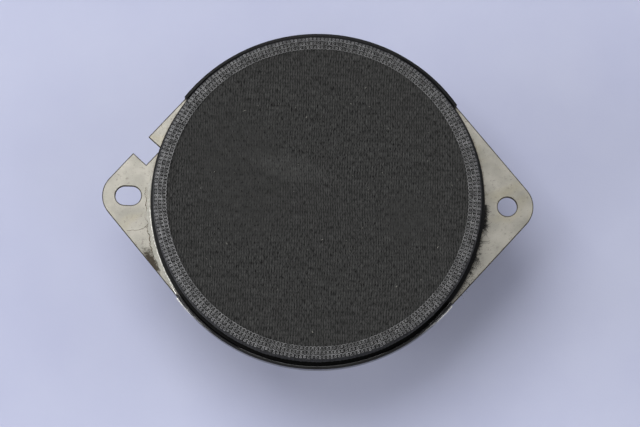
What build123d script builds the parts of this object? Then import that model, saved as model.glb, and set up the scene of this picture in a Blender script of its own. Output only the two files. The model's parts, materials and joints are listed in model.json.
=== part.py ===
"""Car tweeter: an 87 mm dashboard loudspeaker, in millimetres.

The frame's origin is the centre of the magnet's back face. +Z points out of the grille, +X towards
the ear with the round hole, and the terminals are on the -Y side. Solids of revolution are turned
about Z from a cross-section drawn with the radius as x and the height as y.
"""
from build123d import *
import os
from math import acos, cos, degrees, hypot, radians, sin, sqrt, tan

# Flange: a diamond plate whose straight edges are tangent to one circle and to the two ear tips.
HOLE_SPACING = 102.0
EAR_X = HOLE_SPACING / 2
EAR_TIP_R = 7.0
EAR_TANGENT_R = 45.5
PLATE_ARC_R = 44.7
SHEET = 1.0
HOLE_R = 2.6
SLOT_LENGTH = 7.0
NOTCH_WIDTH = 6.0
NOTCH_DEPTH = 4.8
NOTCH_FROM_TANGENT = 21.05

# Motor, stacked from the back face upwards.
YOKE_R = 29.0
YOKE_T = 4.0
YOKE_RECESS_R = 5.0
YOKE_RECESS_DEPTH = 0.8
MAGNET_R = 30.0
MAGNET_BORE_R = 13.0
MAGNET_T = 9.0
TOP_PLATE_R = 28.0
TOP_PLATE_T = 4.0
GAP_OUTER_R = 10.5
POLE_R = 9.2
MAGNET_Z = YOKE_T
TOP_PLATE_Z = MAGNET_Z + MAGNET_T
BASKET_Z = TOP_PLATE_Z + TOP_PLATE_T

# Basket bowl, whose radii are those of the sheet's middle surface.
BASKET_DEPTH = 14.0
FLANGE_TOP = BASKET_Z + BASKET_DEPTH
FLANGE_BOTTOM = FLANGE_TOP - SHEET
BOWL_HOLE_R = 12.5
BOWL_STEP_R = 23.1
BOWL_LEDGE_R = 28.4
BOWL_MOUTH_R = 36.9
BOWL_BEND_R = 1.1
LEDGE_TOP = BASKET_Z + 3.6
WINDOW_WIDTH = 30.0
WINDOW_HEIGHT = 6.6
WINDOW_CORNER_R = 2.0
WINDOW_Z = 25.2
WINDOW_ANGLES = (0, 90, 180, 270)

# Rivets that hold the basket on the top plate.
RIVET_CIRCLE_R = 18.0
RIVET_R = 1.5
RIVET_HEAD_R = 2.4
RIVET_HEAD_T = 0.6
RIVET_HOLE_DEPTH = 3.0
RIVET_ANGLES = (45, 135, 225, 315)
HOLE_CLEARANCE = 0.05

# Moving assembly.
FORMER_R = 9.55
FORMER_T = 0.25
FORMER_BOTTOM = 11.0
FORMER_TOP = 22.4
WINDING_T = 0.35
WINDING_BOTTOM = 11.5
WINDING_TOP = 18.5
CONE_T = 0.4
CONE_NECK = (10.2, 22.0)
CONE_MIDDLE = (19.9, 27.2)
CONE_RIM = (30.0, 31.0)
CONE_RIM_R = 31.0
CONE_COLLAR_BOTTOM = 21.2
DUST_CAP_R = 12.9
DUST_CAP_RISE = 4.6
DUST_CAP_T = 0.4

# Suspension.
SPIDER_T = 0.35
SPIDER_WAVE = 0.55
SPIDER_RIDGES = 4
SPIDER_FIRST_R = 11.2
SPIDER_LAST_R = 23.6
SPIDER_R = 26.6
SPIDER_MIDDLE_Z = LEDGE_TOP + SPIDER_T / 2
ROLL_CENTRE_R = 34.0
ROLL_R = 2.8
SURROUND_T = 0.4
SURROUND_LIP_R = 30.1
SURROUND_R = 39.9
GASKET_R = 37.0
GASKET_T = 1.6

# Grille.
FABRIC_RING_INNER_R = 40.2
FABRIC_RING_R = 43.2
FABRIC_RING_TOP = FLANGE_TOP + 6.4
FABRIC_RING_EDGE_R = 1.0
FRAME_FLANGE_R = 44.9
FRAME_FLANGE_T = 1.0
CURB_INNER_R = 44.6
CURB_R = 45.75
CURB_TOP = FLANGE_TOP + 2.5
CURB_EDGE_R = 0.4
CURB_ARC = 107.2
SKIRT_ARC = 94.0
SKIRT_BOTTOM = FLANGE_BOTTOM
SKIRT_INNER_R = 44.9
CLOTH_R = 43.5
CLOTH_BOTTOM = FABRIC_RING_TOP + 0.1
CLOTH_T = 0.5

# Terminals, on a tongue of the basket at the -Y side.
TONGUE_WIDTH = 10.0
TONGUE_END = 36.5
BOARD_WIDTH = 23.0
BOARD_START = 29.2
BOARD_END = 37.5
BOARD_T = 1.2
BOARD_TOP = LEDGE_TOP - SHEET
BOARD_BOTTOM = BOARD_TOP - BOARD_T
TAB_X = 8.0
TAB_T = 0.8
TAB_BOTTOM = 11.0
POSITIVE_WIDTH = 4.8
NEGATIVE_WIDTH = 2.8
FOOT_START = 30.3
POSITIVE_FOOT_START = 33.4
SOLDER_LUG_END = 32.9
TAB_RIVET_Y = 36.2
TAB_RIVET_R = 0.6
TAB_RIVET_HEAD_R = 0.95
BOARD_RIVET_Y = 33.0
BOARD_RIVET_R = 1.2
BOARD_RIVET_HEAD_R = 2.0
TERMINAL_HEAD_T = 0.5

# Capacitor under the terminal board, with both leads at its +X end.
CAPACITOR_R = 3.15
CAPACITOR_LENGTH = 10.5
CAPACITOR_Y = -33.4
CAPACITOR_Z = 14.6
CAPACITOR_LEAD_GAP = 2.6
CAPACITOR_LEAD_R = 0.3
LEAD_HOLE_R = 0.4

# Wires to the coil.
JOINT_X = 4.4
JOINT_Y = -16.4
JOINT_R = 0.8
JOINT_HEIGHT = 1.0
TINSEL_R = 0.35
COIL_WIRE_R = 0.12
COIL_WIRE_START_R = 10.5
COIL_WIRE_START_Z = 21.3
SMALL_GAP = 0.05


def turned(outline, arc=360.0):
    """Turn a closed cross-section (radius, height) about Z, centred on the XZ plane's +X side."""
    return Rot(0, 0, -arc / 2) * revolve(Plane.XZ * outline, Axis.Z, revolution_arc=arc)


def ring(inner_r, outer_r, bottom, top, arc=360.0):
    """A plain ring or arc of a ring."""
    middle = ((inner_r + outer_r) / 2, (bottom + top) / 2)
    return turned(Pos(*middle) * Rectangle(outer_r - inner_r, top - bottom), arc)


def polygon(*points):
    """A closed face with straight sides."""
    return make_face(Polyline(*points, close=True))


def pillar(radius, x, y, bottom, top):
    """An upright cylinder."""
    return Pos(x, y, (bottom + top) / 2) * Cylinder(radius, top - bottom)


def slab(x, y_near, y_far, width, bottom, top):
    """A flat block on the -Y side, between two distances from the axis."""
    place = Pos(x, -(y_near + y_far) / 2, (bottom + top) / 2)
    return place * Box(width, y_far - y_near, top - bottom)


def arc_centre(a, b, c):
    """Centre and radius of the circle through three points (radius, height)."""
    d = 2 * (a[0] * (b[1] - c[1]) + b[0] * (c[1] - a[1]) + c[0] * (a[1] - b[1]))
    a2, b2, c2 = (p[0] ** 2 + p[1] ** 2 for p in (a, b, c))
    x = (a2 * (b[1] - c[1]) + b2 * (c[1] - a[1]) + c2 * (a[1] - b[1])) / d
    y = (a2 * (c[0] - b[0]) + b2 * (a[0] - c[0]) + c2 * (b[0] - a[0])) / d
    return x, y, hypot(a[0] - x, a[1] - y)


def cone_top(r):
    """Height of the cone's front surface at a radius."""
    x, y, radius = arc_centre(CONE_NECK, CONE_MIDDLE, CONE_RIM)
    return y + sqrt(radius**2 - (r - x) ** 2)


def t_yoke():
    """Back plate and pole piece, forged as one."""
    plate = ring(0, YOKE_R, 0, YOKE_T)
    plate = chamfer(plate.edges().group_by(Axis.Z)[0], 0.8)
    yoke = plate + pillar(POLE_R, 0, 0, YOKE_T, BASKET_Z)
    yoke = chamfer(yoke.edges().group_by(Axis.Z)[-1], 0.4)
    return yoke - pillar(YOKE_RECESS_R, 0, 0, 0, YOKE_RECESS_DEPTH)


def magnet():
    """Ferrite ring with ground faces and chipped-off corners."""
    body = ring(MAGNET_BORE_R, MAGNET_R, MAGNET_Z, TOP_PLATE_Z)
    outer = body.edges().filter_by(GeomType.CIRCLE).filter_by(lambda e: e.radius > MAGNET_BORE_R + 1)
    return chamfer(outer, 0.6)


def top_plate():
    """Front pole washer, with blind holes for the basket rivets."""
    washer = ring(GAP_OUTER_R, TOP_PLATE_R, TOP_PLATE_Z, BASKET_Z)
    outer = washer.edges().filter_by(GeomType.CIRCLE).filter_by(lambda e: e.radius > TOP_PLATE_R - 1)
    washer = chamfer(outer, 0.4)
    hole = pillar(RIVET_R + HOLE_CLEARANCE, RIVET_CIRCLE_R, 0, BASKET_Z - RIVET_HOLE_DEPTH, BASKET_Z)
    return washer - [Rot(0, 0, a) * hole for a in RIVET_ANGLES]


def basket_rivets():
    """Four rivets from the basket's bottom into the top plate."""
    seat = BASKET_Z + SHEET
    rivet = pillar(RIVET_R, RIVET_CIRCLE_R, 0, BASKET_Z - RIVET_HOLE_DEPTH, seat)
    rivet += pillar(RIVET_HEAD_R, RIVET_CIRCLE_R, 0, seat, seat + RIVET_HEAD_T)
    return [Rot(0, 0, a) * rivet for a in RIVET_ANGLES]


def tangent_direction():
    """Angle from X of the normal that the ear's straight edge shares with both circles."""
    return acos((EAR_TANGENT_R - EAR_TIP_R) / EAR_X)


def flange_outline():
    """Round plate with two pointed ears, ended by the tip circles."""
    turn = tangent_direction()
    outline = Circle(PLATE_ARC_R)
    for side in (-1, 1):
        near = (side * EAR_TANGENT_R * cos(turn), EAR_TANGENT_R * sin(turn))
        far = (side * (EAR_X + EAR_TIP_R * cos(turn)), EAR_TIP_R * sin(turn))
        outline += polygon(near, far, (far[0], -far[1]), (near[0], -near[1]))
        outline += Pos(side * EAR_X, 0) * Circle(EAR_TIP_R)
    return outline


def edge_notch():
    """Square notch in the upper edge of the slotted ear, as a cutter."""
    turn = tangent_direction()
    along = 90 - degrees(turn)
    x = -EAR_TANGENT_R * cos(turn) - NOTCH_FROM_TANGENT * sin(turn)
    y = EAR_TANGENT_R * sin(turn) - NOTCH_FROM_TANGENT * cos(turn)
    return Pos(x, y) * Rot(0, 0, along) * Rectangle(NOTCH_WIDTH, 2 * NOTCH_DEPTH)


def flange():
    """The plate with its cut-outs, as thick as the sheet."""
    face = flange_outline() - Circle(BOWL_MOUTH_R + SHEET)
    face -= Pos(EAR_X, 0) * Circle(HOLE_R)
    face -= Pos(-EAR_X, 0) * SlotOverall(SLOT_LENGTH, 2 * HOLE_R)
    face -= edge_notch()
    return Pos(0, 0, FLANGE_BOTTOM) * extrude(face, SHEET)


def bowl():
    """Pressed bowl: bottom ring, step, spider ledge, sloping wall and the inner part of the flange."""
    half = SHEET / 2
    line = FilletPolyline(
        (BOWL_HOLE_R, BASKET_Z + half),
        (BOWL_STEP_R, BASKET_Z + half),
        (BOWL_STEP_R, LEDGE_TOP - half),
        (BOWL_LEDGE_R, LEDGE_TOP - half),
        (BOWL_MOUTH_R, FLANGE_TOP - half),
        (BOWL_MOUTH_R + 2 * SHEET, FLANGE_TOP - half),
        radius=BOWL_BEND_R,
    )
    return turned(trace(line, SHEET))


def basket():
    """Zinc-plated steel basket, one pressing."""
    shell = bowl() + flange()
    window = Plane.YZ * RectangleRounded(WINDOW_WIDTH, WINDOW_HEIGHT, WINDOW_CORNER_R)
    window = Pos(BOWL_STEP_R, 0, WINDOW_Z) * extrude(window, EAR_X - BOWL_STEP_R)
    shell -= [Rot(0, 0, a) * window for a in WINDOW_ANGLES]
    hole = pillar(RIVET_R + HOLE_CLEARANCE, RIVET_CIRCLE_R, 0, BASKET_Z, BASKET_Z + SHEET)
    shell -= [Rot(0, 0, a) * hole for a in RIVET_ANGLES]
    shell += slab(0, BOWL_LEDGE_R - SHEET, TONGUE_END, TONGUE_WIDTH, BOARD_TOP, LEDGE_TOP)
    rivet_hole = pillar(BOARD_RIVET_R + HOLE_CLEARANCE, 0, -BOARD_RIVET_Y, BOARD_TOP, LEDGE_TOP)
    return shell - rivet_hole


def surround():
    """Half-roll edge between the cone's rim and the flange."""
    low = FLANGE_TOP
    high = FLANGE_TOP + SURROUND_T
    inner_roll = ROLL_R - SURROUND_T
    edges = [
        Polyline((SURROUND_LIP_R, low), (SURROUND_LIP_R, high), (ROLL_CENTRE_R - ROLL_R, high)),
        ThreePointArc(
            (ROLL_CENTRE_R - ROLL_R, high),
            (ROLL_CENTRE_R, high + ROLL_R),
            (ROLL_CENTRE_R + ROLL_R, high),
        ),
        Polyline(
            (ROLL_CENTRE_R + ROLL_R, high),
            (SURROUND_R, high),
            (SURROUND_R, low),
            (ROLL_CENTRE_R + inner_roll, low),
            (ROLL_CENTRE_R + inner_roll, high),
        ),
        ThreePointArc(
            (ROLL_CENTRE_R + inner_roll, high),
            (ROLL_CENTRE_R, high + inner_roll),
            (ROLL_CENTRE_R - inner_roll, high),
        ),
        Polyline(
            (ROLL_CENTRE_R - inner_roll, high),
            (ROLL_CENTRE_R - inner_roll, low),
            (SURROUND_LIP_R, low),
        ),
    ]
    return turned(make_face(edges))


def cone():
    """Curved cone with a collar at the neck and a flat rim under the surround."""
    drop = CONE_T * 1.15
    collar_r = FORMER_R + FORMER_T
    neck_r, neck_z = CONE_NECK
    rim_r, rim_z = CONE_RIM
    below = (CONE_MIDDLE[0], CONE_MIDDLE[1] - drop)
    edges = [
        ThreePointArc(CONE_NECK, CONE_MIDDLE, CONE_RIM),
        Polyline(CONE_RIM, (CONE_RIM_R, rim_z), (CONE_RIM_R, rim_z - CONE_T), (rim_r, rim_z - drop)),
        ThreePointArc((rim_r, rim_z - drop), below, (neck_r, neck_z - drop)),
        Polyline(
            (neck_r, neck_z - drop),
            (neck_r, CONE_COLLAR_BOTTOM),
            (collar_r, CONE_COLLAR_BOTTOM),
            (collar_r, neck_z),
            CONE_NECK,
        ),
    ]
    return turned(make_face(edges))


def dust_cap():
    """Domed cap standing on the cone."""
    seat = cone_top(DUST_CAP_R) + SMALL_GAP
    edge = DUST_CAP_R - DUST_CAP_T
    crown = seat + DUST_CAP_RISE
    quarter_r = DUST_CAP_R * 0.6
    radius = (DUST_CAP_R**2 + DUST_CAP_RISE**2) / (2 * DUST_CAP_RISE)
    sag = radius - sqrt(radius**2 - quarter_r**2)
    edges = [
        ThreePointArc((DUST_CAP_R, seat), (quarter_r, crown - sag), (0, crown)),
        Line((0, crown), (0, crown - DUST_CAP_T)),
        ThreePointArc((0, crown - DUST_CAP_T), (quarter_r, crown - sag - 1.05 * DUST_CAP_T), (edge, seat)),
        Line((edge, seat), (DUST_CAP_R, seat)),
    ]
    return turned(make_face(edges))


def voice_coil_former():
    """Thin tube that carries the winding."""
    return ring(FORMER_R, FORMER_R + FORMER_T, FORMER_BOTTOM, FORMER_TOP)


def voice_coil_winding():
    """Wire winding on the former, as one sleeve."""
    inner = FORMER_R + FORMER_T
    return ring(inner, inner + WINDING_T, WINDING_BOTTOM, WINDING_TOP)


def spider():
    """Corrugated centring disc: a collar on the former, ridges and a flat edge on the ledge."""
    inner = FORMER_R + FORMER_T
    pitch = (SPIDER_LAST_R - SPIDER_FIRST_R) / (2 * SPIDER_RIDGES)
    path = [(inner, SPIDER_MIDDLE_Z - SPIDER_T), (SPIDER_FIRST_R, SPIDER_MIDDLE_Z - SPIDER_T)]
    for i in range(2 * SPIDER_RIDGES - 1):
        wave = SPIDER_WAVE if i % 2 == 0 else -SPIDER_WAVE
        path.append((SPIDER_FIRST_R + (i + 1) * pitch, SPIDER_MIDDLE_Z + wave))
    path += [(SPIDER_LAST_R + pitch / 2, SPIDER_MIDDLE_Z), (SPIDER_R, SPIDER_MIDDLE_Z)]
    return turned(trace(FilletPolyline(*path, radius=0.4), SPIDER_T))


def front_gasket():
    """Soft ring that holds the surround's edge down."""
    bottom = FLANGE_TOP + SURROUND_T
    return ring(GASKET_R, SURROUND_R, bottom, bottom + GASKET_T)


def grille_frame():
    """Moulded ring for the cloth, with a curb and a skirt around each round edge of the plate."""
    middle = ((FABRIC_RING_INNER_R + FABRIC_RING_R) / 2, (FLANGE_TOP + FABRIC_RING_TOP) / 2)
    section = Pos(*middle) * Rectangle(FABRIC_RING_R - FABRIC_RING_INNER_R, FABRIC_RING_TOP - FLANGE_TOP)
    section = fillet(section.vertices().group_by(Axis.Y)[-1], FABRIC_RING_EDGE_R)
    frame = turned(section)
    frame += ring(FABRIC_RING_R - 1, FRAME_FLANGE_R, FLANGE_TOP, FLANGE_TOP + FRAME_FLANGE_T)
    middle = ((CURB_INNER_R + CURB_R) / 2, (FLANGE_TOP + CURB_TOP) / 2)
    curb = Pos(*middle) * Rectangle(CURB_R - CURB_INNER_R, CURB_TOP - FLANGE_TOP)
    curb = fillet(curb.vertices().group_by(Axis.Y)[-1], CURB_EDGE_R)
    clip = turned(curb, CURB_ARC)
    clip += ring(SKIRT_INNER_R, CURB_R, SKIRT_BOTTOM, FLANGE_TOP + FRAME_FLANGE_T, SKIRT_ARC)
    return frame + Rot(0, 0, 90) * clip + Rot(0, 0, 270) * clip


def grille_cloth():
    """Knitted cloth held flat over the ring."""
    return ring(0, CLOTH_R, CLOTH_BOTTOM, CLOTH_BOTTOM + CLOTH_T)


def terminal_board():
    """Fibre board under the basket's tongue."""
    board = slab(0, BOARD_START, BOARD_END, BOARD_WIDTH, BOARD_BOTTOM, BOARD_TOP)
    board -= pillar(BOARD_RIVET_R + HOLE_CLEARANCE, 0, -BOARD_RIVET_Y, BOARD_BOTTOM, BOARD_TOP)
    for side in (-1, 1):
        x = side * TAB_X
        board -= pillar(TAB_RIVET_R + HOLE_CLEARANCE, x, -TAB_RIVET_Y, BOARD_BOTTOM, BOARD_TOP)
    return board - lead_holes(BOARD_BOTTOM, BOARD_TOP)


def capacitor_lead_ys():
    """The two leads' distances along Y."""
    return [CAPACITOR_Y + side * CAPACITOR_LEAD_GAP / 2 for side in (-1, 1)]


def lead_holes(bottom, top):
    """Cutters for the capacitor's two leads."""
    return [pillar(LEAD_HOLE_R, TAB_X, y, bottom, top) for y in capacitor_lead_ys()]


def terminal_tab(x, width, foot_start):
    """Blade terminal: a foot on the board and a blade bent down over the board's edge."""
    foot_top = BOARD_TOP + TAB_T
    tab = slab(x, foot_start, BOARD_END + TAB_T, width, BOARD_TOP, foot_top)
    tab += slab(x, BOARD_END, BOARD_END + TAB_T, width, TAB_BOTTOM, foot_top)
    outer = tab.edges().filter_by(Axis.X).sort_by_distance((x, -BOARD_END - TAB_T, foot_top))[0]
    tab = fillet(outer, TAB_T * 0.9)
    tip = tab.edges().filter_by(Axis.Y).group_by(Axis.Z)[0]
    tab = chamfer(tip, 0.7)
    return tab - pillar(TAB_RIVET_R + HOLE_CLEARANCE, x, -TAB_RIVET_Y, BOARD_TOP, foot_top)


def terminal_tab_positive():
    """Wide blade, with a hole for one capacitor lead."""
    tab = terminal_tab(TAB_X, POSITIVE_WIDTH, POSITIVE_FOOT_START)
    return tab - lead_holes(BOARD_TOP, BOARD_TOP + TAB_T)


def terminal_tab_negative():
    """Narrow blade, with the tinsel lead on its foot."""
    return terminal_tab(-TAB_X, NEGATIVE_WIDTH, FOOT_START)


def solder_lug():
    """Small plate where the capacitor's other lead meets the positive tinsel lead."""
    lug = slab(TAB_X, FOOT_START, SOLDER_LUG_END, POSITIVE_WIDTH, BOARD_TOP, BOARD_TOP + TAB_T)
    lug = fillet(lug.edges().filter_by(Axis.Z), 0.6)
    return lug - lead_holes(BOARD_TOP, BOARD_TOP + TAB_T)


def rivet(x, y, radius, head_r, top):
    """A rivet through the board with a head above and below."""
    body = pillar(radius, x, y, BOARD_BOTTOM - TERMINAL_HEAD_T, top + TERMINAL_HEAD_T)
    body += pillar(head_r, x, y, BOARD_BOTTOM - TERMINAL_HEAD_T, BOARD_BOTTOM)
    body += pillar(head_r, x, y, top, top + TERMINAL_HEAD_T)
    return body


def terminal_rivets():
    """One rivet through the tongue and one through each blade's foot."""
    foot_top = BOARD_TOP + TAB_T
    return [
        rivet(0, -BOARD_RIVET_Y, BOARD_RIVET_R, BOARD_RIVET_HEAD_R, LEDGE_TOP),
        rivet(TAB_X, -TAB_RIVET_Y, TAB_RIVET_R, TAB_RIVET_HEAD_R, foot_top),
        rivet(-TAB_X, -TAB_RIVET_Y, TAB_RIVET_R, TAB_RIVET_HEAD_R, foot_top),
    ]


def blocking_capacitor():
    """Sleeved can lying under the board, crimped near its sealed end."""
    half = CAPACITOR_LENGTH / 2
    crimp = half - 2.0
    outline = FilletPolyline(
        (0, half),
        (CAPACITOR_R, half),
        (CAPACITOR_R, crimp + 0.7),
        (CAPACITOR_R - 0.45, crimp),
        (CAPACITOR_R, crimp - 0.7),
        (CAPACITOR_R, -half),
        (0, -half),
        radius=0.25,
    )
    can = turned(make_face([outline, Line((0, -half), (0, half))]))
    return Pos(0, CAPACITOR_Y, CAPACITOR_Z) * Rot(0, 90, 0) * can


def tube(points, radius):
    """Round wire along straight runs joined by arcs as large as the runs allow."""
    spots = [Vector(*p) for p in points]
    bends = []
    for before, corner, after in zip(spots, spots[1:], spots[2:]):
        run = min((corner - before).length, (after - corner).length)
        half_turn = radians((corner - before).get_angle(after - corner)) / 2
        bends.append(0.45 * run / tan(half_turn))
    print("bend radii", [round(b, 2) for b in bends])
    path = FilletPolyline(*spots, radius=bends)
    return sweep(Plane(path @ 0, z_dir=path % 0) * Circle(radius), path)


def capacitor_leads():
    """Two wires from the can's end, up through the board."""
    start = CAPACITOR_LENGTH / 2
    top = BOARD_TOP + TAB_T + 2 * CAPACITOR_LEAD_R
    wires = []
    for y in capacitor_lead_ys():
        points = [(start, y, CAPACITOR_Z), (TAB_X, y, CAPACITOR_Z), (TAB_X, y, top)]
        path = FilletPolyline(*points, radius=1.2)
        wires.append(sweep(Plane(path @ 0, z_dir=path % 0) * Circle(CAPACITOR_LEAD_R), path))
    return wires


def joint_top():
    """Top of the solder joints, just under the cone at the joint's inner side."""
    return cone_top(hypot(JOINT_X, JOINT_Y) - JOINT_R) - 1.3 * CONE_T - SMALL_GAP


def lead_solder_joints():
    """Two soldered and glued joints on the cone's underside."""
    top = joint_top()
    joint = pillar(JOINT_R, 0, JOINT_Y, top - JOINT_HEIGHT, top)
    joint = fillet(joint.edges().filter_by(GeomType.CIRCLE), 0.3)
    return [Pos(side * JOINT_X, 0, 0) * joint for side in (-1, 1)]


def coil_lead_wires():
    """The winding's two ends, from the former to the joints, under the cone."""
    joint_r = hypot(JOINT_X, JOINT_Y)
    inward = 1 - JOINT_R / joint_r
    end_z = joint_top() - JOINT_HEIGHT / 2
    wires = []
    for side in (-1, 1):
        direction = (side * JOINT_X / joint_r, JOINT_Y / joint_r)
        start = (COIL_WIRE_START_R * direction[0], COIL_WIRE_START_R * direction[1], COIL_WIRE_START_Z)
        end = (side * JOINT_X * inward, JOINT_Y * inward, end_z)
        path = Line(start, end)
        wires.append(sweep(Plane(path @ 0, z_dir=path % 0) * Circle(COIL_WIRE_R), path))
    return wires


def tinsel_lead(side):
    """Braided lead from a joint on the cone, through the window, to the board."""
    start = joint_top() - JOINT_HEIGHT
    foot_top = BOARD_TOP + TAB_T
    return tube(
        [
            (side * JOINT_X, JOINT_Y, start),
            (side * JOINT_X, JOINT_Y, 22.6),
            (side * 5.0, -19.4, 22.4),
            (side * 6.2, -23.9, 22.5),
            (side * 7.4, -28.2, 23.6),
            (side * TAB_X, -31.2, 23.5),
            (side * TAB_X, -31.3, foot_top + SMALL_GAP),
        ],
        TINSEL_R,
    )


def tinsel_lead_positive():
    """Lead to the solder lug."""
    return tinsel_lead(1)


def tinsel_lead_negative():
    """Lead to the narrow blade's foot."""
    return tinsel_lead(-1)


PARTS = (
    t_yoke,
    magnet,
    top_plate,
    basket,
    basket_rivets,
    surround,
    cone,
    dust_cap,
    voice_coil_former,
    voice_coil_winding,
    coil_lead_wires,
    lead_solder_joints,
    tinsel_lead_positive,
    tinsel_lead_negative,
    spider,
    front_gasket,
    grille_frame,
    grille_cloth,
    terminal_board,
    terminal_tab_positive,
    terminal_tab_negative,
    solder_lug,
    terminal_rivets,
    blocking_capacitor,
    capacitor_leads,
)

os.makedirs("parts", exist_ok=True)
for make in PARTS:
    made = make()
    pieces = made if isinstance(made, list) else [made]
    solids = [solid for piece in pieces for solid in piece.solids()]
    export_step(Compound(children=solids), f"parts/{make.__name__}.step")
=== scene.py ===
"""Looks of the car tweeter: a zinc-plated basket, a black grille frame and a stretched knit cloth.

Lengths in this file are millimetres unless it is said that they are metres; MM turns them to metres.
Pieces are surfaces worked out with numpy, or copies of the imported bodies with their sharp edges
rounded.
"""
import json
from math import cos, hypot, pi, radians, sin

import bmesh
import bpy
import numpy as np
from mathutils import Matrix, Vector


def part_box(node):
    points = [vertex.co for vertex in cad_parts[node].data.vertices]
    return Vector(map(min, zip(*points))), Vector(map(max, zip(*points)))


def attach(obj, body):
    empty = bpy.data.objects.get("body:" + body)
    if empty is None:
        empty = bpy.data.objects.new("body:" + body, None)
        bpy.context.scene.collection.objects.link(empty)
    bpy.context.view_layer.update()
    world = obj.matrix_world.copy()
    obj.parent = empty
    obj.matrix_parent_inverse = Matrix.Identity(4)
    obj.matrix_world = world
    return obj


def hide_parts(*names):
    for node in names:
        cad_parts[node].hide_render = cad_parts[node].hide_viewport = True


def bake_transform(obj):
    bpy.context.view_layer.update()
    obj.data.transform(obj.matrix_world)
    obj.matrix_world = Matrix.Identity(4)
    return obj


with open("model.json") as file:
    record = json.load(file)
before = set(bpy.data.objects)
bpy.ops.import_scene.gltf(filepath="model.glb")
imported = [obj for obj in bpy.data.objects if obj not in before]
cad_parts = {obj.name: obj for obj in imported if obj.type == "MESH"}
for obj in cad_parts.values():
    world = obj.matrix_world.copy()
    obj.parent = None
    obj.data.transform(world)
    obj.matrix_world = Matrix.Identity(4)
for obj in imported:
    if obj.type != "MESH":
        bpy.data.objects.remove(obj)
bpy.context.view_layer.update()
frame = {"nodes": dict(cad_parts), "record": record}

MM = 0.001


def top_of(node):
    """Highest point of a CAD node."""
    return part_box(node)[1].z / MM


def bottom_of(node):
    """Lowest point of a CAD node."""
    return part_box(node)[0].z / MM


FLANGE_TOP = top_of("basket")
CLOTH_TOP = top_of("grille_cloth")
UP = (0.0, 0.0, 1.0)

# Grille frame: inside of its ring, outside of its foot, and where its curb starts and is polished.
RING_INNER_R = 40.2
FRAME_FLANGE_R = 44.9
CURB_INNER_R = 44.5
CURB_FRONT_Y = -26.0

# Rounded copies: edges sharper than SHARP_ANGLE are rounded, faces within FLAT_ANGLE of each other are
# joined, and points within MERGE_DISTANCE are merged. RIM_WIDTH is the dark rim on the flange's top.
SHARP_ANGLE = radians(32)
FLAT_ANGLE = radians(0.5)
MERGE_DISTANCE = 0.002
RIM_WIDTH = 0.22

# Camera: looks down on the cloth from the -Y side, a little turned and rolled. Angles in degrees.
CAMERA_TILT = 10.1
CAMERA_AZIMUTH = 3.35
CAMERA_ROLL = 1.8
CAMERA_DISTANCE = 650.0
CAMERA_LENS = 136.0
CAMERA_OFFSET = (0.65, -3.33)


# ---------------------------------------------------------------- meshes

def new_piece(name, verts, faces, mat, body, uv=None):
    """A mesh piece from points in millimetres and an array or a list of faces. It rides on a body,
    unless no body is given."""
    mesh = bpy.data.meshes.new(name)
    faces = faces if isinstance(faces, list) else faces.tolist()
    mesh.from_pydata((np.asarray(verts) * MM).tolist(), [], faces)
    mesh.validate()
    mesh.shade_smooth()
    if uv is not None:
        layer = mesh.uv_layers.new(name="cloth")
        corners = np.empty(len(mesh.loops), np.int32)
        mesh.loops.foreach_get("vertex_index", corners)
        layer.data.foreach_set("uv", np.asarray(uv)[corners].ravel())
    piece = bpy.data.objects.new(name, mesh)
    bpy.context.scene.collection.objects.link(piece)
    piece.data.materials.append(mat)
    if body:
        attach(piece, body)
    return piece


def grid_faces(rows, columns, close_rows=False, close_columns=False):
    """Quads of a grid of points stored row by row; a closed direction joins its end to its start."""
    r = np.arange(rows if close_rows else rows - 1)
    c = np.arange(columns if close_columns else columns - 1)
    r, c = np.meshgrid(r, c, indexing="ij")
    r2, c2 = (r + 1) % rows, (c + 1) % columns
    quads = np.stack([r * columns + c, r * columns + c2, r2 * columns + c2, r2 * columns + c], -1)
    return quads.reshape(-1, 4)


def around(count):
    """Even angles round a full turn."""
    return np.arange(count) * 2 * pi / count


def polar(r, a, z):
    """Points at a radius, an angle and a height: x = r cos a, y = r sin a."""
    return np.stack(np.broadcast_arrays(r * np.cos(a), r * np.sin(a), z), -1)


def unit(vectors):
    """Vectors scaled to a length of 1."""
    return vectors / np.linalg.norm(vectors, axis=-1, keepdims=True)


def fan(tip, first, sides):
    """Triangles from a tip to each two neighbours in a ring of points."""
    j = np.arange(sides)
    return np.stack([np.full(sides, tip), first + j, first + (j + 1) % sides], -1)


def ring_piece(name, segments, r, z, mat, body, slot):
    """A closed ring about the axis. Each segment has a section of points at the radii r and heights z,
    listed anticlockwise."""
    points = polar(r, around(segments)[:, None], z)
    faces = grid_faces(segments, points.shape[1], close_rows=True, close_columns=True)
    return new_piece(name, points.reshape(-1, 3), faces[:, ::-1], mat, body)


def tube_piece(name, paths, radii, sides, mat, body, normals=UP, closed=False):
    """Tubes along paths (n, points, 3): rings of the given radii around each path, spanned by the given
    normal and by tangent x normal."""
    if closed:
        tangent = np.roll(paths, -1, 1) - np.roll(paths, 1, 1)
    else:
        tangent = np.gradient(paths, axis=1)
    side = unit(np.cross(tangent, normals))
    up = unit(np.cross(side, tangent))
    a = around(sides)[:, None]
    ring = np.cos(a) * up[:, :, None, :] + np.sin(a) * side[:, :, None, :]
    points = paths[:, :, None, :] + ring * np.asarray(radii)[..., None, None]
    count, length = paths.shape[:2]
    faces = grid_faces(length, sides, close_rows=closed, close_columns=True)
    faces = faces[None] + (np.arange(count) * length * sides)[:, None, None]
    return new_piece(name, points.reshape(-1, 3), faces.reshape(-1, 4), mat, body)


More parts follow.
